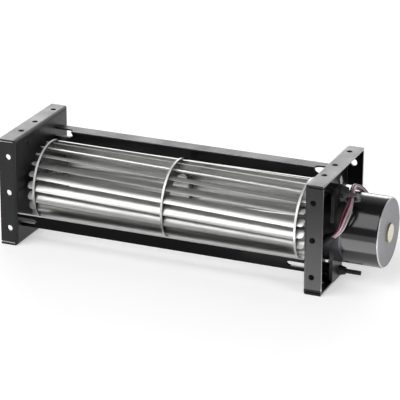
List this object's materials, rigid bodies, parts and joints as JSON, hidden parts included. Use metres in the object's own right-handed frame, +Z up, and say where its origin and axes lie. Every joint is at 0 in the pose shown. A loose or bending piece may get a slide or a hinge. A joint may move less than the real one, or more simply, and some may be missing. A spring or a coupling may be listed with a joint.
{
  "type": "cross flow fan",
  "caption": "Long bladed tangential impeller between two folded black end brackets and guide rails, driven by a small cylindrical motor on rubber mounts.",
  "frame": {"origin": "centre of the fan, cord apart, at the base of the brackets", "axes": "+X along the impeller towards the motor, -Y the open front, +Z up"},
  "size_m": [0.279, 0.145, 0.08],
  "materials": {
    "black_steel": "semi-gloss black",
    "aluminium": "bright rolled",
    "steel": "zinc plated",
    "bearing_bronze": "sintered",
    "copper_wire": "enamelled",
    "magnet": "matt",
    "satin_black": "satin",
    "gloss_black": "gloss",
    "cream_brass": "satin",
    "rubber": "matt",
    "lead_wires": "insulated wires",
    "plug_plastic": "natural",
    "tie_plastic": "natural"
  },
  "bodies": {
    "frame": {"bracket_left": "black_steel", "bracket_right": "black_steel", "rail_rear": "black_steel", "rail_front": "black_steel", "bush_left": "rubber", "bearing_left": "bearing_bronze", "stator_core": "steel", "winding_1": "copper_wire", "winding_2": "copper_wire", "winding_3": "copper_wire", "winding_4": "copper_wire", "bearing_front": "bearing_bronze", "bearing_rear": "bearing_bronze", "motor_bell": "satin_black", "motor_can": "gloss_black", "can_disc": "cream_brass", "buffer_top": "rubber", "buffer_bottom": "rubber", "lead_grommet": "rubber", "lead": "lead_wires", "lead_coil": "lead_wires", "lead_plug": "plug_plastic", "cable_tie": "tie_plastic"},
    "impeller": {"disc_left": "aluminium", "disc_middle": "aluminium", "disc_right": "aluminium", "blade_01": "aluminium", "blade_02": "aluminium", "blade_03": "aluminium", "blade_04": "aluminium", "blade_05": "aluminium", "blade_06": "aluminium", "blade_07": "aluminium", "blade_08": "aluminium", "blade_09": "aluminium", "blade_10": "aluminium", "blade_11": "aluminium", "blade_12": "aluminium", "blade_13": "aluminium", "blade_14": "aluminium", "blade_15": "aluminium", "blade_16": "aluminium", "blade_17": "aluminium", "blade_18": "aluminium", "blade_19": "aluminium", "blade_20": "aluminium", "blade_21": "aluminium", "hub_left": "steel", "hub_rivets_left": "steel", "shaft_left": "steel", "washer_left": "steel", "clip_left": "steel", "hub_right": "steel", "hub_rivets_right": "steel", "coupling_rubber": "rubber", "coupling_sleeve": "steel", "hub_screw": "steel", "motor_shaft": "steel", "rotor_magnet": "magnet"}
  },
  "joints": [
    {"name": "impeller_spin", "type": "hinge", "parent": "frame", "child": "impeller", "pos_m": [0, 0, 0.0368], "axis": [1, 0, 0], "continuous": true}
  ]
}
